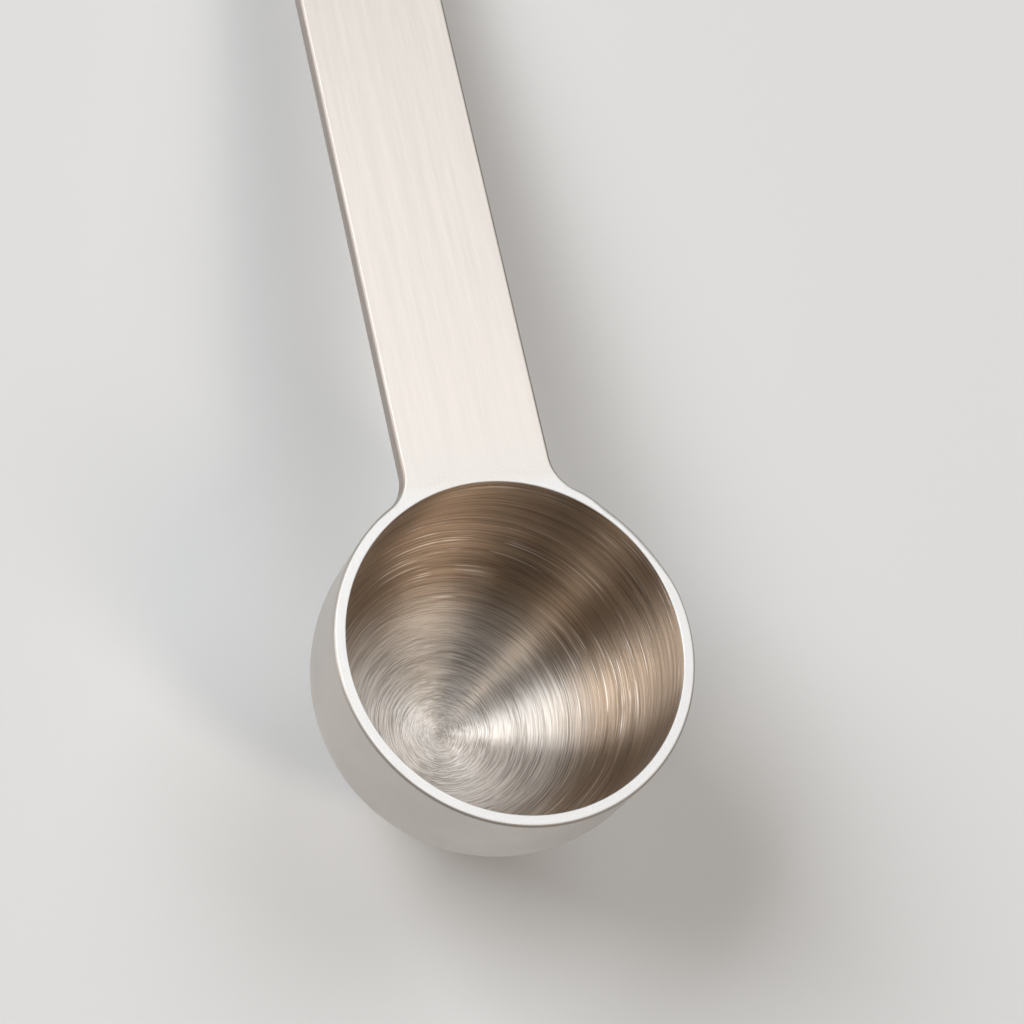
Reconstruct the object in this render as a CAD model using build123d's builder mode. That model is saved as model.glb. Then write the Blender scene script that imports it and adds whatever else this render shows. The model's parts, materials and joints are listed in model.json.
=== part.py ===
from build123d import *
from math import acos, asin, atan2, cos, degrees, hypot, pi, radians, sin, sqrt
import os

os.makedirs("parts", exist_ok=True)

# Driving dimensions in millimetres, the taper in degrees: the bowl, whose wall is straight down
# to straight_share of its depth
mouth_diameter = 39.5
bowl_wall = 1.4
bowl_inside_depth = 33.0
straight_share = 0.4
wall_taper = 24.0
blend_radius = 6.0
rim_chamfer = 0.2

# The handle, a flat strap with a full round end
handle_width = 18.0
handle_thickness = 2.2
handle_length = 118.0
handle_chamfer = 0.25
hang_hole_diameter = 6.0
hang_hole_chamfer = 0.2

# The welds at the neck
neck_radius = 5.0
underside_weld_leg = 1.2

# The inside of the bowl: a straight wall, then a taper that runs out into a ball-shaped bottom.
# The ball is the one that touches both the tapered wall and the deepest point.
mouth_radius = mouth_diameter / 2
outer_radius = mouth_radius + bowl_wall
taper = radians(wall_taper)
below_straight = bowl_inside_depth * (1 - straight_share)
ball_radius = (mouth_radius * cos(taper) - below_straight * sin(taper)) / (1 - sin(taper))
ball_depth = bowl_inside_depth - ball_radius
outer_ball_radius = ball_radius + bowl_wall

# The handle's side and its far end, from the bowl's axis
side_x = handle_width / 2
tip_y = outer_radius + handle_length
tip_centre_y = tip_y - side_x

# At rest the spoon lies on the ball of the bowl and on the lower edge of the tip
foot_y = tip_y - handle_chamfer
foot_rise = ball_depth - handle_thickness
rest_tilt = atan2(foot_rise, foot_y) + asin(outer_ball_radius / hypot(foot_y, foot_rise))
rest_sin = sin(rest_tilt)
rest_cos = cos(rest_tilt)
mouth_height = ball_depth * rest_cos + outer_ball_radius

# How far the bowl and the tip reach along the table from the mouth's centre. The bowl's end is
# on the blend below its straight wall, or on its ball when the spoon tilts more than the taper.
outer_blend_radius = blend_radius + bowl_wall
outer_break_depth = ball_depth + (outer_ball_radius - outer_radius * cos(taper)) / sin(taper)
outer_blend_depth = outer_break_depth - outer_blend_radius * (1 - cos(taper)) / sin(taper)
bowl_end = max(
    (outer_radius - outer_blend_radius) * rest_cos
    + outer_blend_depth * rest_sin
    + outer_blend_radius,
    ball_depth * rest_sin + outer_ball_radius,
)
tip_end = tip_y * rest_cos - handle_chamfer * rest_sin
mouth_y = (bowl_end - tip_end) / 2

# The rim plane holds the flat top of the rim and of the handle. Its x runs across the spoon,
# its y from the bowl to the handle's tip, and its z out of the bowl's mouth.
rim = Plane(origin=(0, mouth_y, mouth_height), x_dir=(1, 0, 0), z_dir=(0, rest_sin, rest_cos))
bowl_axis = Axis(rim.origin, rim.z_dir)
underside = rim.offset(-handle_thickness)


def section_plane(angle):
    """Plane through the bowl's axis: x is the way out at this angle from the rim plane's x."""
    outward = rim.x_dir * cos(angle) + rim.y_dir * sin(angle)
    return Plane(origin=rim.origin, x_dir=outward, z_dir=outward.cross(rim.z_dir))


def wall_line(offset):
    """Half section of the bowl from mouth to bottom, this far outside its inner face."""
    top_radius = mouth_radius + offset
    round_radius = ball_radius + offset
    break_depth = ball_depth + (round_radius - top_radius * cos(taper)) / sin(taper)
    FilletPolyline(
        (top_radius, 0),
        (top_radius, -break_depth),
        (round_radius * cos(taper), -ball_depth - round_radius * sin(taper)),
        radius=blend_radius + offset,
    )
    CenterArc((0, -ball_depth), round_radius, start_angle=270, arc_size=90 - wall_taper)


def around_bowl(angle):
    """Point of the rim plane on the bowl's outer wall."""
    return (outer_radius * cos(angle), outer_radius * sin(angle))


# Each neck corner is a circle that touches the strap's side and the bowl's outer wall
neck_x = side_x + neck_radius
neck_y = sqrt((outer_radius + neck_radius) ** 2 - neck_x**2)
strap_angle = acos(side_x / outer_radius)
fade_angle = atan2(neck_y, neck_x)


def around_neck(angle):
    """Point of the rim plane on the right-hand neck circle, from the strap's side round."""
    return (neck_x - neck_radius * cos(angle), neck_y - neck_radius * sin(angle))


# Bowl: drawn from sheet, so that one wall thickness follows the whole section
with BuildPart() as bowl:
    with BuildSketch(section_plane(0)):
        with BuildLine():
            Line((mouth_radius, 0), (outer_radius, 0))
            wall_line(bowl_wall)
            Line((0, -bowl_inside_depth - bowl_wall), (0, -bowl_inside_depth))
            wall_line(0)
        make_face()
    revolve(axis=bowl_axis)
    chamfer(bowl.edges().filter_by(GeomType.CIRCLE).group_by(bowl_axis)[-1], rim_chamfer)
    # The outer edge of the rim stays square where the strap and the welds meet it flush
    with BuildSketch(section_plane(fade_angle)):
        with Locations((outer_radius, 0)):
            Rectangle(rim_chamfer, rim_chamfer, align=(Align.MAX, Align.MAX))
    revolve(axis=bowl_axis, revolution_arc=degrees(pi - 2 * fade_angle))

# Handle: the strap with broken edges, then its root, whose end is hollowed to seat on the bowl
with BuildPart() as handle:
    with BuildSketch(underside):
        with BuildLine():
            Line((-side_x, neck_y), (side_x, neck_y))
            Line((side_x, neck_y), (side_x, tip_centre_y))
            ThreePointArc((side_x, tip_centre_y), (0, tip_y), (-side_x, tip_centre_y))
            Line((-side_x, tip_centre_y), (-side_x, neck_y))
        make_face()
    extrude(amount=handle_thickness)
    strap_rims = handle.faces().filter_by(rim).edges().filter_by(Axis.X, reverse=True)
    chamfer(strap_rims, handle_chamfer)
    with BuildSketch(underside):
        Rectangle(handle_width, neck_y, align=(Align.CENTER, Align.MIN))
        Circle(outer_radius, mode=Mode.SUBTRACT)
    extrude(amount=handle_thickness)
    with BuildSketch(underside):
        with Locations((0, tip_centre_y)):
            Circle(hang_hole_diameter / 2)
    extrude(amount=handle_thickness, mode=Mode.SUBTRACT)
    hole_rims = handle.edges(Select.LAST).filter_by(GeomType.CIRCLE)
    chamfer(hole_rims, hang_hole_chamfer)

# Neck welds: weld metal fills each corner between strap and bowl, ground flush and hollow
with BuildPart() as weld_fillet_right:
    with BuildSketch(underside):
        with BuildLine():
            Line(around_bowl(strap_angle), (side_x, neck_y))
            ThreePointArc((side_x, neck_y), around_neck(fade_angle / 2), around_bowl(fade_angle))
            ThreePointArc(
                around_bowl(fade_angle),
                around_bowl((fade_angle + strap_angle) / 2),
                around_bowl(strap_angle),
            )
        make_face()
    extrude(amount=handle_thickness)

with BuildPart() as weld_fillet_left:
    mirror(weld_fillet_right.part, about=Plane.YZ)

# Underside weld: a flat-faced bead round the bowl's wall, under the strap's root
with BuildPart() as weld_bead_under:
    bead_foot = -handle_thickness - underside_weld_leg
    bead_edge = outer_radius + underside_weld_leg
    with BuildSketch(section_plane(strap_angle)):
        with BuildLine():
            Polyline(
                (outer_radius, bead_foot),
                (outer_radius, -handle_thickness),
                (bead_edge, -handle_thickness),
                close=True,
            )
        make_face()
    revolve(axis=bowl_axis, revolution_arc=degrees(pi - 2 * strap_angle))

bowl.part.label = "bowl"
handle.part.label = "handle"
weld_fillet_left.part.label = "weld_fillet_left"
weld_fillet_right.part.label = "weld_fillet_right"
weld_bead_under.part.label = "weld_bead_under"

export_step(bowl.part, "parts/bowl.step")
export_step(handle.part, "parts/handle.step")
export_step(weld_fillet_left.part, "parts/weld_fillet_left.step")
export_step(weld_fillet_right.part, "parts/weld_fillet_right.step")
export_step(weld_bead_under.part, "parts/weld_bead_under.step")

print("tilt at rest, degrees:", round(degrees(rest_tilt), 2))
print("mouth's centre along the table and above it:", round(mouth_y, 3), round(mouth_height, 3))
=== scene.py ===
import json
from math import acos, atan2, cos, pi, radians, sin, sqrt, tan

import bpy
import numpy as np
from mathutils import Matrix, Vector


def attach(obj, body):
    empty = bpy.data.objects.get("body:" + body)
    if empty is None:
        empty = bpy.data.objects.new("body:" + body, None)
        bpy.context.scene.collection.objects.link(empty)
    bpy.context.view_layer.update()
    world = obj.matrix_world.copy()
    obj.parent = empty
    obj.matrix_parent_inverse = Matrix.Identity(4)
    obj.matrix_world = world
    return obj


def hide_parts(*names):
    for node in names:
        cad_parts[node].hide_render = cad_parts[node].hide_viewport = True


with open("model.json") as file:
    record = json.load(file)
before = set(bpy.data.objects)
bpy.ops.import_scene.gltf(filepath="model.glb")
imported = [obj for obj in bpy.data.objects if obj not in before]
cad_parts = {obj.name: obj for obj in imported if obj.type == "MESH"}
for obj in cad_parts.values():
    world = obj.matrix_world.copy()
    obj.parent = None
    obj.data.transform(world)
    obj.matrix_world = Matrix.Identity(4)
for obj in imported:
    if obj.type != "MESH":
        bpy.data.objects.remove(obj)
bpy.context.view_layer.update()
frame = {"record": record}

# Bowl: the deep round cup of the measure, one wall of drawn stainless sheet.
# Its rim is ground flat, its outside is satin, and its inside is brushed in rings on a lathe.
mouth_radius = 0.01975
wall = 0.00139
inside_depth = 0.0330
straight_depth = 0.0132
taper = radians(24)
inner_blend = 0.0090
outer_blend = 0.0190
rim_easing = 0.00035
inner_easing = 0.00012
outer_radius = mouth_radius + wall
below_straight = inside_depth - straight_depth
ball_radius = (mouth_radius * cos(taper) - below_straight * sin(taper)) / (1 - sin(taper))
ball_depth = inside_depth - ball_radius

# The rim plane carries the whole spoon. The record gives its normal and one point of it, which
# lies straight across from the mouth's centre.
mounts = {mount["name"]: mount for mount in frame["record"]["mounts"]}
mouth_centre = np.array(mounts["rim_face"]["pos_m"]) * (0, 1, 1)
rim_normal = np.array(mounts["rim_face"]["axis"])
handle_way = np.array((0, rim_normal[2], -rim_normal[1]))

# One unit of a UV map along a surface
map_unit = 0.05


def in_place(across, lengthways, height):
    """Point of the frame: mouth's centre + across * x + lengthways * handle_way + height * normal."""
    across, lengthways, height = np.broadcast_arrays(across, lengthways, height)
    return (
        mouth_centre
        + across[..., None] * np.array((1, 0, 0))
        + lengthways[..., None] * handle_way
        + height[..., None] * rim_normal
    )


def plan_map(across, lengthways, height, normal_x, normal_y):
    """UV map seen along the rim's normal, u along the handle and v across it. A side face is
    unrolled: a point is carried out along its level normal by its depth below the rim."""
    u = lengthways - height * normal_y
    v = across - height * normal_x
    plan = np.stack(np.broadcast_arrays(u, v), -1) / map_unit
    return np.concatenate([plan, plan[:, :1]], 1)


def shade_ground_faces(mesh):
    """Faces square to the rim's normal are flat, as ground, and all others shade smoothly."""
    normals = np.empty(len(mesh.polygons) * 3, np.float32)
    mesh.polygons.foreach_get("normal", normals)
    nearly_square = 0.99999
    level = np.abs(normals.reshape(-1, 3) @ rim_normal) > nearly_square
    mesh.polygons.foreach_set("use_smooth", ~level)
    mesh.update()


def closed_mesh(name, grid, maps, material=0):
    """Mesh of a grid of points whose columns close on themselves, with a fan from its own middle
    on each end row. Each UV map of maps has one column more than the grid. material is one value,
    one a row of faces (a column vector), or one a face of the grid."""
    rows, columns = grid.shape[:2]
    row, column = np.arange(rows - 1)[:, None], np.arange(columns)[None, :]
    right = (column + 1) % columns
    quads = np.stack([
        row * columns + column, row * columns + right,
        (row + 1) * columns + right, (row + 1) * columns + column,
    ], -1).reshape(-1, 4)
    near, far, last = rows * columns, rows * columns + 1, (rows - 1) * columns
    column, right = column[0], right[0]
    near_fan = np.stack([np.full(columns, near), right, column], -1)
    far_fan = np.stack([np.full(columns, far), last + column, last + right], -1)
    points = np.concatenate([grid.reshape(-1, 3), grid[:1].mean(1), grid[-1:].mean(1)])
    mesh = bpy.data.meshes.new(name)
    mesh.from_pydata(points.tolist(), [], quads.tolist() + near_fan.tolist() + far_fan.tolist())
    for label, uv in maps.items():
        middle = (uv[:, :-1] + uv[:, 1:]) / 2
        quad_uv = np.stack([uv[:-1, :-1], uv[:-1, 1:], uv[1:, 1:], uv[1:, :-1]], 2)
        near_uv = np.stack([middle[0], uv[0, 1:], uv[0, :-1]], 1)
        far_uv = np.stack([middle[-1], uv[-1, :-1], uv[-1, 1:]], 1)
        uv = np.concatenate([part.reshape(-1) for part in (quad_uv, near_uv, far_uv)])
        mesh.uv_layers.new(name=label).data.foreach_set("uv", uv.astype(np.float32))
    material = np.broadcast_to(material, (rows - 1, columns))
    material = np.concatenate([material, material[:1], material[-1:]]).ravel()
    mesh.polygons.foreach_set("material_index", material.astype(np.int32))
    shade_ground_faces(mesh)
    piece = bpy.data.objects.new(name, mesh)
    bpy.context.scene.collection.objects.link(piece)
    return piece


# Points down the straight wall of each skin, and the last point's angle on the ball, just short
# of the bowl's axis
straight_points = 8
last_angle = radians(89.4)


def wall_section(offset, top_depth, blend):
    """Radius and height down one skin, from top_depth below the rim to near the lowest point:
    straight_points of straight wall, an arc of radius blend, the taper, then an arc of
    ball_radius + offset down to last_angle."""
    top = mouth_radius + offset
    ball = ball_radius + offset
    break_depth = ball_depth + (ball - top * cos(taper)) / sin(taper)
    blend_top = break_depth - blend * tan(taper / 2)
    straight = np.linspace(top_depth, blend_top, straight_points)
    arc = np.linspace(0, taper, 9)[1:]
    step = np.linspace(0, 1, 6)[1:-1]
    bottom = np.linspace(taper, last_angle, 60)
    arc_end = top - blend * (1 - cos(taper)), blend_top + blend * sin(taper)
    ball_top = ball * cos(taper), ball_depth + ball * sin(taper)
    radius = np.concatenate([
        np.full(straight.size, top),
        top - blend * (1 - np.cos(arc)),
        arc_end[0] + (ball_top[0] - arc_end[0]) * step,
        ball * np.cos(bottom),
    ])
    depth = np.concatenate([
        straight,
        blend_top + blend * np.sin(arc),
        arc_end[1] + (ball_top[1] - arc_end[1]) * step,
        ball_depth + ball * np.sin(bottom),
    ])
    return radius, -depth


# The neck: on each side a circle touches the strap's side and the bowl's wall. From fade_angle,
# where it touches the bowl, round to the handle, weld metal meets the rim flush.
half_width = 0.0090
neck_radius = 0.0050
strap_easing = 0.00044
neck_x = half_width + neck_radius
neck_y = sqrt((outer_radius + neck_radius) ** 2 - neck_x**2)
fade_angle = atan2(neck_y, neck_x)

# The rim's easing comes back within easing_return beyond the neck. The weld's edge is followed
# only as far as edge_reach, where the strap already covers it. No easing shrinks to less than
# least_easing of itself, so that no face vanishes.
easing_return = radians(8)
edge_reach = radians(10)
least_easing = 0.01

# The bevel that the grinding left along the rim beside the right-hand weld: the angles between
# which it rises and falls, and what it adds to the easing's width and depth
bevel_rise = (radians(8), radians(30))
bevel_fall = (radians(44), radians(57))
bevel_width = 0.00055
bevel_depth = 0.0011


def smooth_step(value, low, high):
    """0 below low, 1 above high, and 3 t^2 - 2 t^3 between them."""
    t = np.clip((value - low) / (high - low), 0, 1)
    return t * t * (3 - 2 * t)


def outer_corner(angle):
    """Width and depth of the rim's outer corner round the bowl: the easing, plus the bevel's
    share of its own width and depth. At the neck the easing runs out along the weld's edge, a
    circle of radius weld_edge about the neck circle's centre, met at the angle to_handle past it."""
    from_handle = np.abs((angle - pi / 2 + pi) % (2 * pi) - pi)
    to_handle = np.clip(pi / 2 - fade_angle - from_handle, 0, edge_reach)
    centres = outer_radius + neck_radius
    weld_edge = neck_radius + strap_easing
    half_chord = np.sqrt(weld_edge**2 - (centres * np.sin(to_handle)) ** 2)
    weld_top = centres * np.cos(to_handle) - half_chord
    free = smooth_step(from_handle, pi / 2 - fade_angle, pi / 2 - fade_angle + easing_return)
    eased = np.clip(outer_radius - weld_top, least_easing * rim_easing, None)
    eased = eased * (1 - free) + rim_easing * free
    ground = smooth_step(angle, *bevel_rise) - smooth_step(angle, *bevel_fall)
    return eased + bevel_width * ground, eased + bevel_depth * ground


# The bowl's materials in the order in which its mesh holds them
ring_slot, ground_slot, satin_slot, shaded_edge_slot = range(4)


def bowl_surface(columns):
    """Closed shell turned round the bowl's axis. Its rows are worked out up the inside, over the
    rim and down the outside, and its columns are the angles. Each row is a radius and a height,
    less its share of the outer corner's width and depth at that angle. Of the outer corner, all
    but the first facet is edge-ground, in the darker steel that paints shade on it. The rows come
    back reversed, so that faces look outward."""
    angle = np.arange(columns) * 2 * pi / columns
    width, depth = outer_corner(angle)
    inner_r, inner_z = wall_section(0, inner_easing, inner_blend)
    outer_r, outer_z = wall_section(wall, 0, outer_blend)
    ease = np.linspace(0, pi / 2, 6)[1:]
    corner = np.linspace(pi / 2, 0, 6)
    down = np.linspace(0, 1, 12)[1:]
    radius = np.concatenate([
        inner_r[::-1], mouth_radius + inner_easing * (1 - np.cos(ease)),
        np.full(corner.size + down.size, outer_radius), outer_r[straight_points:],
    ])
    height = np.concatenate([
        inner_z[::-1], -inner_easing * (1 - np.sin(ease)), np.zeros(corner.size),
        down * outer_z[straight_points - 1], outer_z[straight_points:],
    ])
    before = np.zeros(inner_r.size + ease.size)
    after = np.zeros(outer_r.size - straight_points)
    narrowing = np.concatenate([before, 1 - np.cos(corner), 0 * down, after])
    lowering = np.concatenate([before, 1 - np.sin(corner), 1 - down, after])
    radius = radius[:, None] - narrowing[:, None] * width
    height = height[:, None] - lowering[:, None] * depth
    grid = in_place(radius * np.cos(angle), radius * np.sin(angle), height)
    steps = np.hypot(np.diff(radius[:, 0]), np.diff(height[:, 0]))
    down_wall = np.concatenate([[0], np.cumsum(steps)])[:, None] / map_unit
    rings = np.stack(np.broadcast_arrays(np.arange(columns + 1)[None, :] / columns, down_wall), -1)
    plan = plan_map(radius * np.cos(angle), radius * np.sin(angle), 0, 0, 0)
    row = np.arange(radius.shape[0] - 1)
    rim_start = inner_r.size - 1
    shaded_edge_start = inner_r.size + ease.size + 1
    rim_end = inner_r.size + ease.size + corner.size - 1
    stretches = [row < rim_start, row < shaded_edge_start, row < rim_end]
    material = np.select(stretches, [ring_slot, ground_slot, shaded_edge_slot], satin_slot)
    return grid[::-1], {"rings": rings[::-1], "plan": plan[::-1]}, material[::-1, None]


bowl = closed_mesh("bowl_shell", *bowl_surface(columns=360))


def node(tree, kind, settings=(), inputs=()):
    """New node of a tree. settings are its own properties; inputs are values or sockets to link."""
    made = tree.nodes.new("ShaderNode" + kind)
    for key, value in dict(settings).items():
        setattr(made, key, value)
    for key, value in dict(inputs).items():
        if isinstance(value, bpy.types.NodeSocket):
            tree.links.new(value, made.inputs[key])
        else:
            made.inputs[key].default_value = value
    return made


def math(tree, operation, *values):
    """Result of a Math node for values or sockets in order."""
    return node(tree, "Math", {"operation": operation}, dict(enumerate(values))).outputs[0]


def ramp(tree, value, low, high, to_low=0.0, to_high=1.0):
    """value carried from the range low..high to to_low..to_high, held at the ends."""
    limits = {"From Min": low, "From Max": high, "To Min": to_low, "To Max": to_high}
    return node(tree, "MapRange", {"clamp": True}, {"Value": value, **limits}).outputs[0]


def soft_ramp(tree, value, low, high):
    """0 at low and 1 at high, held beyond them, with a smooth start and end. low may be the
    larger of the two."""
    limits = {"From Min": low, "From Max": high}
    settings = {"interpolation_type": "SMOOTHSTEP"}
    return node(tree, "MapRange", settings, {"Value": value, **limits}).outputs[0]


def blend_colours(tree, share, first, second):
    """Colour that runs from first to second as share runs from 0 to 1."""
    mixed = node(tree, "Mix", {"data_type": "RGBA"}, {0: share, 6: first, 7: second})
    return mixed.outputs[2]


def noise(tree, x, y, z, detail, roughness=0.5):
    """Noise on the point (x, y, z)."""
    where = node(tree, "CombineXYZ", {}, {0: x, 1: y, 2: z})
    inputs = {"Vector": where.outputs[0], "Scale": 1.0, "Detail": detail, "Roughness": roughness}
    return node(tree, "TexNoise", {"noise_dimensions": "3D"}, inputs).outputs[0]


def new_material(name):
    """New material without any nodes, and its node tree to fill."""
    material = bpy.data.materials.new(name)
    material.use_nodes = True
    material.node_tree.nodes.clear()
    return material, material.node_tree


def finish_steel(tree, colour, roughness, normal, brushing=None, anisotropy=0.0):
    """Bare metal on the output. Where brushing names a UV map, scratches lie along its u, by a
    quarter turn of the shader's anisotropy, and spread the highlights across themselves."""
    quarter_turn = 0.25
    links = {"Base Color": colour, "Metallic": 1.0, "Roughness": roughness, "Normal": normal}
    if brushing:
        tangent = node(tree, "Tangent", {"direction_type": "UV_MAP", "uv_map": brushing})
        links["Tangent"] = tangent.outputs[0]
        links["Anisotropic"] = anisotropy
        links["Anisotropic Rotation"] = quarter_turn
    shader = node(tree, "BsdfPrincipled", {}, links)
    node(tree, "OutputMaterial", {}, {0: shader.outputs[0]})


# Inside of the bowl: rings left by the abrasive as the bowl turned, fine on the wall, and coarse
# and dense on the bottom. Painted shade and a painted warm reflection darken and brown the wall;
# the bottom is paler, partly for its dense scratching and partly as a painted highlight, and
# scratches are painted near white as glints. The pattern follows the rings map, whose v is the
# way up from the lowest point, and the rings wander a little along it.
ring_material, tree = new_material("ring_brushed_steel")
place = node(tree, "UVMap", {"uv_map": "rings"})
split = node(tree, "SeparateXYZ", {}, {0: place.outputs[0]})
way_up = split.outputs[1]
turn = math(tree, "MULTIPLY", split.outputs[0], 2 * pi)
turn_x, turn_y = math(tree, "COSINE", turn), math(tree, "SINE", turn)
wander = noise(
    tree, math(tree, "MULTIPLY", turn_x, 0.9), math(tree, "MULTIPLY", turn_y, 0.9),
    math(tree, "MULTIPLY", way_up, 7.0), 2.0,
)
wandered = math(tree, "MULTIPLY_ADD", wander, 0.016, way_up)


def ring_noise(arcs, rings, detail, roughness=0.5, shift=0.0):
    """Noise on the point (arcs * cos turn, arcs * sin turn, rings * wandered + shift): long along
    the rings. Each shift gives a pattern of its own."""
    return noise(
        tree, math(tree, "MULTIPLY", turn_x, arcs), math(tree, "MULTIPLY", turn_y, arcs),
        math(tree, "MULTIPLY_ADD", wandered, rings, shift), detail, roughness,
    )


bottom = soft_ramp(tree, way_up, 0.46, 0.20)
centre = soft_ramp(tree, way_up, 0.21, 0.09)
fine = ring_noise(1.8, 420.0, 3.0, 0.7)
coarse = ring_noise(1.6, 190.0, 3.0, 0.65, 31.0)
broad = ring_noise(0.6, 26.0, 2.0, 0.5, 77.0)
swirl = ring_noise(2.2, 300.0, 2.0, 0.6, 55.0)
arcs = ramp(tree, ring_noise(1.3, 230.0, 1.0, 0.4, 13.0), 0.61, 0.68)
arcs_where = ramp(tree, ring_noise(2.6, 9.0, 2.0, 0.5, 91.0), 0.42, 0.56)
arcs = math(tree, "MULTIPLY", arcs, arcs_where)
dense = math(tree, "MULTIPLY", ramp(tree, swirl, 0.46, 0.60), bottom)
scratches_and_glints = math(tree, "MAXIMUM", arcs, dense)
tone = math(tree, "MULTIPLY_ADD", coarse, 0.5, math(tree, "MULTIPLY", fine, 0.5))
tone = ramp(tree, math(tree, "MULTIPLY_ADD", broad, 0.35, tone), 0.52, 0.84)
# Painted shade and a painted warm reflection darken and brown the wall's colour past the steel's own;
# the bottom's colour runs paler, partly for its dense scratching and partly as a painted highlight.
wall_colour_with_painted_shade = blend_colours(tree, tone, (0.29, 0.225, 0.17, 1), (0.70, 0.56, 0.435, 1))
bottom_colour_with_painted_highlight = blend_colours(tree, tone, (0.38, 0.35, 0.315, 1), (0.97, 0.925, 0.87, 1))
colour = blend_colours(tree, bottom, wall_colour_with_painted_shade, bottom_colour_with_painted_highlight)
# Scratches are painted near white as glints, where light would catch them.
colour = blend_colours(tree, scratches_and_glints, colour, (0.98, 0.95, 0.91, 1))
roughness = ramp(tree, fine, 0.3, 0.7, 0.33, 0.41)
for where, rougher in ((centre, -0.12), (bottom, 0.05), (scratches_and_glints, 0.06)):
    roughness = math(tree, "MULTIPLY_ADD", where, rougher, roughness)
grooves = math(tree, "MULTIPLY", coarse, math(tree, "MULTIPLY_ADD", bottom, 0.1, 0.4))
height = math(tree, "MULTIPLY_ADD", scratches_and_glints, 0.25, math(tree, "MULTIPLY_ADD", fine, 0.55, grooves))
bump = node(tree, "Bump", {}, {"Strength": 0.8, "Distance": 0.00008, "Height": height})
finish_steel(tree, colour, roughness, bump.outputs[0], "rings", 1.0)

# Belt grinding: the rim, the welds and the strap are ground flush in one go. Straight grain runs
# along the handle, and near the bowl a finer wheel has frosted it over. The broken edges, the
# strap's sides and the welds' hollows are ground too, and a darker copy of the steel paints
# shade on them where they turn away from the light.
grain_stretch = 0.03
spot_shade = 0.87
grinding_masks = ("Fine", "Broad", "Tooth", "Frosting")
grinding_group = bpy.data.node_groups.new("belt_grinding", "ShaderNodeTree")
for label in grinding_masks:
    grinding_group.interface.new_socket(label, in_out="OUTPUT", socket_type="NodeSocketFloat")
group_out = grinding_group.nodes.new("NodeGroupOutput")
place = node(grinding_group, "UVMap", {"uv_map": "plan"})
split = node(grinding_group, "SeparateXYZ", {}, {0: place.outputs[0]})
along, across = split.outputs[0], split.outputs[1]
for label, pitch, detail in (("Fine", 330.0, 4.0), ("Broad", 46.0, 3.0)):
    x = math(grinding_group, "MULTIPLY", across, pitch)
    y = math(grinding_group, "MULTIPLY", along, pitch)
    y = math(grinding_group, "MULTIPLY", y, grain_stretch)
    made = noise(grinding_group, x, y, 0.0, detail, 0.6)
    grinding_group.links.new(made, group_out.inputs[label])
tooth = noise(
    grinding_group, math(grinding_group, "MULTIPLY", across, 360.0),
    math(grinding_group, "MULTIPLY", along, 300.0), 0.0, 3.0, 0.7,
)
grinding_group.links.new(tooth, group_out.inputs["Tooth"])
frosting = soft_ramp(grinding_group, along, 0.62, 0.36)
grinding_group.links.new(frosting, group_out.inputs["Frosting"])


def belt_ground(name, dark, pale, frosted, on_bowl):
    """Material of a ground face: dark to pale with the grain, frosted beside the bowl, and with
    a colour of its own from the ends of the welds on, round the bowl. Spots of spot_shade of the
    colour speckle both."""
    material, tree = new_material(name)
    made = node(tree, "Group", {"node_tree": grinding_group})
    fine, broad, tooth, frosting = (made.outputs[label] for label in grinding_masks)
    tone = math(tree, "MULTIPLY_ADD", broad, 0.5, math(tree, "MULTIPLY", fine, 0.5))
    colour = blend_colours(tree, ramp(tree, tone, 0.30, 0.70), dark, pale)
    spots = ramp(tree, tooth, 0.32, 0.68)
    for share, clear in ((frosting, frosted), (ramp(tree, frosting, 0.93, 1.0), on_bowl)):
        spotted = [spot_shade * part for part in clear[:3]] + [1]
        colour = blend_colours(tree, share, colour, blend_colours(tree, spots, spotted, clear))
    roughness = ramp(tree, fine, 0.3, 0.7, 0.50, 0.60)
    roughness = math(tree, "MULTIPLY_ADD", frosting, 0.06, roughness)
    height = math(tree, "MULTIPLY_ADD", math(tree, "MULTIPLY", tooth, frosting), 0.8, fine)
    bump = node(tree, "Bump", {}, {"Strength": 0.25, "Distance": 0.00003, "Height": height})
    finish_steel(tree, colour, roughness, bump.outputs[0], "plan", 0.5)
    return material


ground_material = belt_ground(
    "belt_ground_steel", (0.73, 0.685, 0.645, 1), (0.84, 0.79, 0.745, 1),
    (0.87, 0.835, 0.80, 1), (0.88, 0.875, 0.865, 1),
)
# The edge steel is a darker copy of the ground steel: painted shade on edges, sides and hollows that
# turn away from the light.
shaded_edge_material = belt_ground(
    "edge_ground_steel_painted_shade", (0.34, 0.305, 0.275, 1), (0.47, 0.425, 0.39, 1),
    (0.42, 0.375, 0.335, 1), (0.60, 0.565, 0.53, 1),
)


def body_noise(tree, scale, detail, roughness=0.5):
    """Noise on the piece's own coordinates, with scale cells a metre."""
    place = node(tree, "TexCoord").outputs["Object"]
    inputs = {"Vector": place, "Scale": scale, "Detail": detail, "Roughness": roughness}
    return node(tree, "TexNoise", {}, inputs).outputs[0]


# Outside of the bowl: satin, with a fine even tooth and faint cloudiness
satin_material, tree = new_material("satin_steel")
tooth = body_noise(tree, 2600.0, 3.0, 0.6)
cloud = body_noise(tree, 120.0, 3.0)
colour = blend_colours(tree, cloud, (0.58, 0.545, 0.51, 1), (0.68, 0.645, 0.61, 1))
roughness = ramp(tree, tooth, 0.3, 0.7, 0.42, 0.52)
bump = node(tree, "Bump", {}, {"Strength": 0.3, "Distance": 0.00002, "Height": tooth})
finish_steel(tree, colour, roughness, bump.outputs[0])

for material in (ring_material, ground_material, satin_material, shaded_edge_material):
    bowl.data.materials.append(material)
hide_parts("bowl")
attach(bowl, "root")

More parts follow.
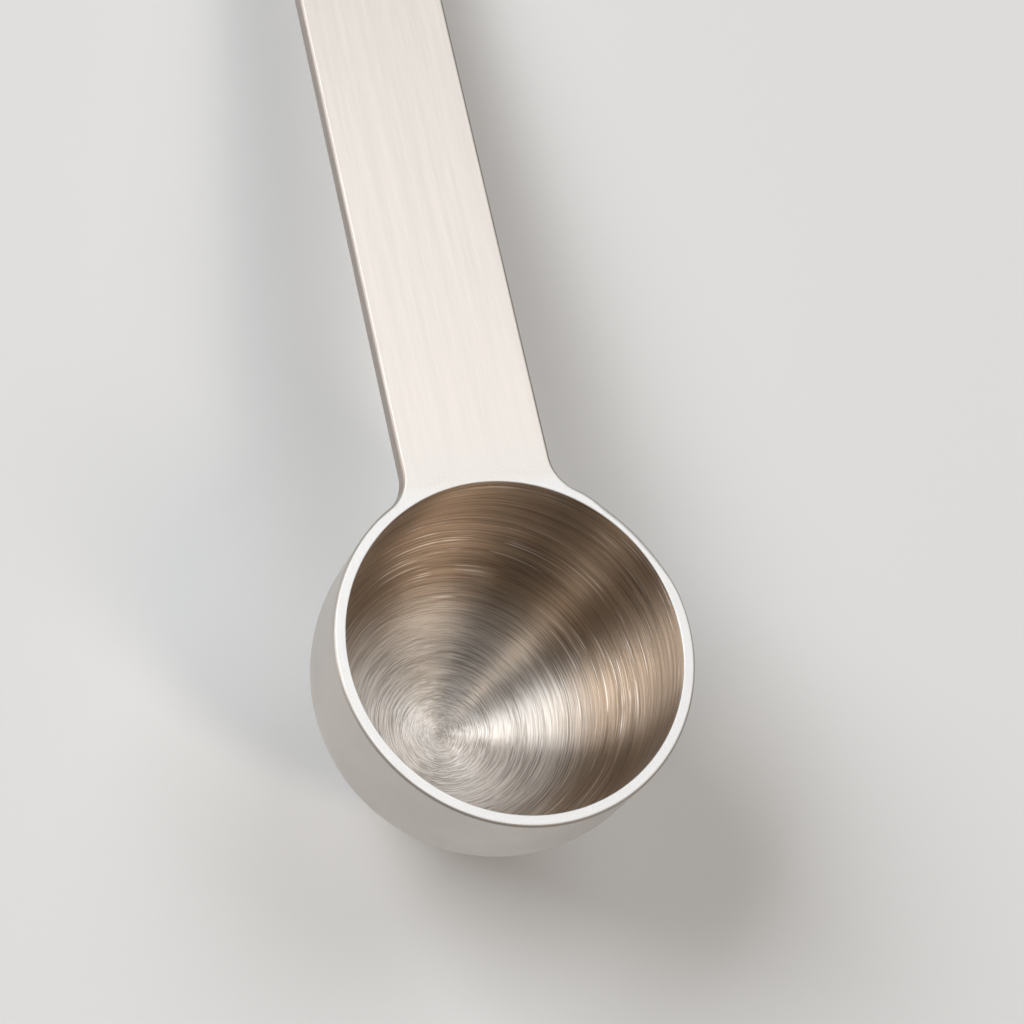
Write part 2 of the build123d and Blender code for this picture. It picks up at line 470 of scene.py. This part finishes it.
# Handle: one flat strap of stainless, belt-ground along its length, with broken edges and a
# full round end. Its root is hollowed to the bowl's wall, and a hole near the tip hangs it.
thickness = 0.0022
hole_radius = mounts["hang_hole"]["dims"]["r_mm"] / 1000
hole_easing = 0.00035
hole_y = float((np.array(mounts["hang_hole"]["pos_m"]) - mouth_centre) @ handle_way)

# Rows of the strap crowd towards the root by this power. Its last row is a chord at this angle
# of the tip's half circle, just short of its end.
root_crowding = 1.3
last_swing = radians(89.7)

# How far the plug that cuts the hole stands out past the strap, and the hair's breadth that keeps
# two faces from lying in one plane
plug_reach = 0.001
hair = 0.000003


def section_loop():
    """Loop round the strap's section, from the left top edge: how far across, -1 to 1, the share
    of the easing by which it is moved in and off the face, and whether it is below. Two close
    points by each edge keep the flat face flat up to the easing."""
    across = np.concatenate([[-1, -0.985], np.linspace(-0.9, 0.9, 13), [0.985]])
    quarter = np.linspace(0, pi / 2, 6)
    inset, drop = 1 - np.sin(quarter), 1 - np.cos(quarter)
    one = np.ones(quarter.size)
    over = np.concatenate([across, one, one[:-1], -across, -one, -one[:-1]])
    edge = np.concatenate([inset, inset[::-1][:-1]])
    off = np.concatenate([drop, drop[::-1][:-1]])
    moved_in = np.concatenate([np.ones(across.size), edge, np.ones(across.size), edge])
    lowered = np.concatenate([np.zeros(across.size), off, np.zeros(across.size), off])
    half = across.size + edge.size
    below = np.zeros(2 * half, bool)
    below[across.size + quarter.size:across.size + quarter.size + half] = True
    return over, moved_in, lowered, below


def strap_surface():
    """Section loops carried from the root to the tip. The first row is the arc of the bowl's
    wall, which runs out evenly into straight rows; the last rows are chords of the tip's half
    circle, whose edge points are its centre + (half width - inset) * (cos, sin). Beside a weld
    the easing is as wide as the weld's own rounded edge leaves bare. The sides are edge-ground,
    from the second facet of the top easing on, in the darker steel that paints shade on them."""
    over, moved_in, lowered, below = section_loop()
    run = np.linspace(0, 1, 90)[:, None] ** root_crowding
    swing = np.linspace(0, last_swing, 44)[1:, None]
    root = np.sqrt(outer_radius**2 - (half_width * over) ** 2)
    straight = root + run * (hole_y - root)
    beside_weld = np.clip(neck_y - straight, 0, neck_radius)
    eased = np.sqrt((neck_radius + strap_easing) ** 2 - beside_weld**2) - neck_radius
    eased = np.clip(eased, least_easing * strap_easing, strap_easing)
    eased = np.concatenate([eased, np.full((swing.size, over.size), strap_easing)])
    swing = np.concatenate([0 * run, swing])
    reach = half_width - moved_in * eased
    across = over * reach * np.cos(swing)
    lengthways = np.concatenate([straight, np.full((swing.size - run.size, over.size), hole_y)])
    lengthways = lengthways + reach * np.sin(swing)
    height = np.where(below, lowered * eased - thickness, -lowered * eased)
    plan = plan_map(across, lengthways, height, over * np.cos(swing), np.abs(over) * np.sin(swing))
    at_edge = (np.abs(over) == 1) & (np.abs(np.roll(over, -1)) == 1)
    deep = below | (lowered > 0)
    shaded_flank = at_edge & deep & np.roll(deep, -1)
    return in_place(across, lengthways, height), {"plan": plan}, shaded_flank


def hole_surface():
    """Closed plug with the shape of the hanging hole: a circle whose radius grows by a quarter
    round at both faces of the strap, and which stands out past them."""
    columns = 96
    angle = np.arange(columns) * 2 * pi / columns
    quarter = np.linspace(0, pi / 2, 7)
    wider = hole_easing * (1 - np.sin(quarter))
    lower = hair - hole_easing * (1 - np.cos(quarter))
    radius = hole_radius + np.concatenate([wider[:1], wider, wider[::-1], wider[:1]])[:, None]
    height = np.concatenate([
        [plug_reach], lower, -thickness - lower[::-1], [-thickness - plug_reach],
    ])[:, None]
    across, lengthways = radius * np.cos(angle), hole_y + radius * np.sin(angle)
    plan = plan_map(across, lengthways, height, -np.cos(angle), -np.sin(angle))
    grid = in_place(across, lengthways, height)
    return grid[::-1], {"plan": plan[::-1]}


handle = closed_mesh("handle_strap", *strap_surface())
handle.data.materials.append(ground_material)
handle.data.materials.append(shaded_edge_material)
plug = closed_mesh("hole_plug", *hole_surface())
cut = handle.modifiers.new("hanging_hole", "BOOLEAN")
cut.operation, cut.solver, cut.object = "DIFFERENCE", "EXACT", plug
drilled = handle.evaluated_get(bpy.context.evaluated_depsgraph_get())
handle.data = bpy.data.meshes.new_from_object(drilled)
handle.modifiers.clear()
bpy.data.objects.remove(plug)
shade_ground_faces(handle.data)
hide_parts("handle")
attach(handle, "root")

# Neck welds: weld metal fills the corner on each side between the strap and the bowl.
# It is ground flush with the rim and hollowed to a small radius with a wheel.
strap_angle = acos(half_width / outer_radius)
root_y = sqrt(outer_radius**2 - half_width**2)
weld_overlap = 0.0001


def weld_surface(side):
    """Closed body between the neck circle and a line inside the strap's side and the bowl's wall,
    weld_overlap deeper than the easing, where ruled lines join the two. Rows run along the neck
    circle; columns go round the section. The hollowed face is edge-ground, from the second facet
    of its top easing on, in the darker steel that paints shade on it. side is 1 or -1."""
    share = np.linspace(0, 1, 33)[:, None]
    on_bowl = fade_angle + (strap_angle - fade_angle) * np.clip(2 - share * 2, 0, 1)
    on_strap = neck_y + (root_y - neck_y) * np.clip(share * 2, 0, 1)
    sunk = strap_easing + weld_overlap
    foot_x = np.where(share < 0.5, half_width - sunk, (outer_radius - sunk) * np.cos(on_bowl))
    foot_y = np.where(share < 0.5, on_strap, (outer_radius - sunk) * np.sin(on_bowl))
    sweep = fade_angle * share
    quarter = np.linspace(0, pi / 2, 6)
    radius = neck_radius + strap_easing * (1 - np.sin(np.concatenate([quarter, quarter[::-1]])))
    drop = strap_easing * (1 - np.cos(quarter))
    across = np.concatenate([foot_x, neck_x - radius * np.cos(sweep), foot_x], 1)
    lengthways = np.concatenate([foot_y, neck_y - radius * np.sin(sweep), foot_y], 1)
    height = np.concatenate([[-hair], -drop, drop[::-1] - thickness, [hair - thickness]])
    height = height + 0 * across
    plan = plan_map(side * across, lengthways, height, side * np.cos(sweep), np.sin(sweep))
    grid = in_place(side * across, lengthways, height)
    if side > 0:
        grid, plan = grid[::-1], plan[::-1]
    column = np.arange(across.shape[1])
    shaded_hollow = (column > 1) & (column < 2 * quarter.size)
    return grid, {"plan": plan}, shaded_hollow


for name, side in (("left", -1), ("right", 1)):
    weld = closed_mesh("neck_weld_" + name, *weld_surface(side))
    weld.data.materials.append(ground_material)
    weld.data.materials.append(shaded_edge_material)
    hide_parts("weld_fillet_" + name)
    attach(weld, "root")

# Underside weld: the bead under the strap's root, laid along the bowl's wall and left as laid,
# with the small even ripples of the torch and a faint straw tint from the heat.
bead_leg = 0.0012
bead_start = strap_angle + radians(2)

# The leg runs out towards a point past_end beyond each end of the bead, and is whole from
# whole_leg inside it
past_end = radians(3)
whole_leg = radians(9)
ripple_depth = 0.00005
ripples_a_turn = 110


def bead_surface():
    """Closed bead: a triangle in the corner of wall and strap, turned about the bowl's axis from
    just inside one edge of the strap to just inside the other, where its leg runs out. Its face is
    pushed in by a ripple that runs with the angle."""
    angle = np.linspace(bead_start, pi - bead_start, 161)[:, None]
    down = np.linspace(0, 1, 13)[None, :]
    from_end = np.minimum(angle, pi - angle) - bead_start
    leg = bead_leg * smooth_step(from_end, -past_end, whole_leg)
    ripple = ripple_depth * (0.5 + 0.5 * np.cos(angle * ripples_a_turn)) * np.sin(pi * down)
    corner = np.full((angle.size, 1), outer_radius)
    radius = np.concatenate([outer_radius + leg * (1 - down) - ripple, corner], 1)
    height = -thickness - leg * np.append(down, 0) + 0 * radius
    across, lengthways = radius * np.cos(angle), radius * np.sin(angle)
    plan = plan_map(across, lengthways, height, np.cos(angle), np.sin(angle))
    return in_place(across, lengthways, height), {"plan": plan}


bead = closed_mesh("underside_weld", *bead_surface())
bead_material, tree = new_material("laid_weld_steel")
tint = ramp(tree, body_noise(tree, 420.0, 3.0, 0.6), 0.35, 0.65)
tooth = body_noise(tree, 2400.0, 2.0, 0.6)
colour = blend_colours(tree, tint, (0.62, 0.56, 0.49, 1), (0.70, 0.67, 0.63, 1))
roughness = ramp(tree, tooth, 0.3, 0.7, 0.32, 0.46)
bump = node(tree, "Bump", {}, {"Strength": 0.3, "Distance": 0.00003, "Height": tooth})
finish_steel(tree, colour, roughness, bump.outputs[0])
bead.data.materials.append(bead_material)
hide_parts("weld_bead_under")
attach(bead, "root")

# Floor: a wide matt sheet of pale grey card. It isn't part of the spoon.
floor_reach = 3.0
corners = [(x * floor_reach, y * floor_reach, 0) for x, y in ((-1, -1), (1, -1), (1, 1), (-1, 1))]
floor_mesh = bpy.data.meshes.new("floor")
floor_mesh.from_pydata(corners, [], [(0, 1, 2, 3)])
floor = bpy.data.objects.new("floor", floor_mesh)
bpy.context.scene.collection.objects.link(floor)
floor_material, tree = new_material("pale_card")
cloud = body_noise(tree, 14.0, 2.0)
colour = blend_colours(tree, cloud, (0.795, 0.815, 0.83, 1), (0.815, 0.835, 0.85, 1))
card = node(tree, "BsdfPrincipled", {}, {"Base Color": colour, "Roughness": 0.9})
card.inputs["Specular IOR Level"].default_value = 0.2
node(tree, "OutputMaterial", {}, {0: card.outputs[0]})
floor_mesh.materials.append(floor_material)

# World: a dark studio whose pale walls glow low down, all round the table
world = bpy.data.worlds.new("room")
bpy.context.scene.world = world
world.use_nodes = True
tree = world.node_tree
tree.nodes.clear()
way_out = node(tree, "SeparateXYZ", {}, {0: node(tree, "TexCoord").outputs["Generated"]})
glow = ramp(tree, way_out.outputs[2], 0.20, 0.45, to_low=0.16, to_high=0.07)
room = node(tree, "Background", {}, {"Color": (1.0, 1.0, 1.0, 1), "Strength": glow})
node(tree, "OutputWorld", {}, {0: room.outputs[0]})

# Lamps: soft boxes round the table, each at its own compass angle and height angle from the spoon
lamp_aim = Vector((0, -0.04, 0.02))
lamp_distance = 3.5
warm_light = (1.0, 0.84, 0.69)


def soft_box(name, compass, rise, spread, glow, colour=(1, 1, 1)):
    """Rectangle lamp that faces the spoon from compass and rise degrees and fills spread degrees of
    width and height. Its power is glow * pi * area, so that its face has the brightness glow."""
    lamp = bpy.data.lights.new(name, "AREA")
    lamp.shape = "RECTANGLE"
    lamp.size, lamp.size_y = (2 * lamp_distance * tan(radians(degrees / 2)) for degrees in spread)
    lamp.energy = glow * pi * lamp.size * lamp.size_y
    lamp.color = colour
    level = cos(radians(rise))
    way = Vector((level * cos(radians(compass)), level * sin(radians(compass)), sin(radians(rise))))
    made = bpy.data.objects.new(name, lamp)
    made.location = lamp_aim + way * lamp_distance
    made.rotation_euler = (-way).to_track_quat("-Z", "Y").to_euler()
    bpy.context.scene.collection.objects.link(made)


soft_box("key_box", 140, 38, (32, 28), 8.4)
soft_box("overhead_box", 56, 57, (36, 28), 2.4)
soft_box("warm_top_box", 312, 52, (10, 30), 7.0, warm_light)
soft_box("warm_front_box", 200, 56, (10, 20), 3.2, warm_light)

# Camera: the photograph's place and angle, from the spoon's left, turned so that the handle
# leaves at the top of the frame
camera_place = Vector((-0.11345, -0.07700, 0.34985))
camera_elevation = radians(69.114)
camera_azimuth = radians(-162.614)
camera_roll = radians(-65.544)
view_way = Vector((
    -cos(camera_elevation) * cos(camera_azimuth),
    -cos(camera_elevation) * sin(camera_azimuth),
    -sin(camera_elevation),
))
level_right = view_way.cross(Vector((0, 0, 1))).normalized()
level_up = level_right.cross(view_way)
right = level_right * cos(camera_roll) - level_up * sin(camera_roll)
up = level_right * sin(camera_roll) + level_up * cos(camera_roll)
lens = bpy.data.cameras.new("camera")
lens.sensor_width = 36.0
lens.lens = 105.47
lens.clip_start = 0.01
camera = bpy.data.objects.new("camera", lens)
camera.matrix_world = Matrix((
    (right.x, up.x, -view_way.x, camera_place.x),
    (right.y, up.y, -view_way.y, camera_place.y),
    (right.z, up.z, -view_way.z, camera_place.z),
    (0, 0, 0, 1),
))
bpy.context.scene.collection.objects.link(camera)
bpy.context.scene.camera = camera
bpy.context.scene.view_settings.view_transform = "Standard"
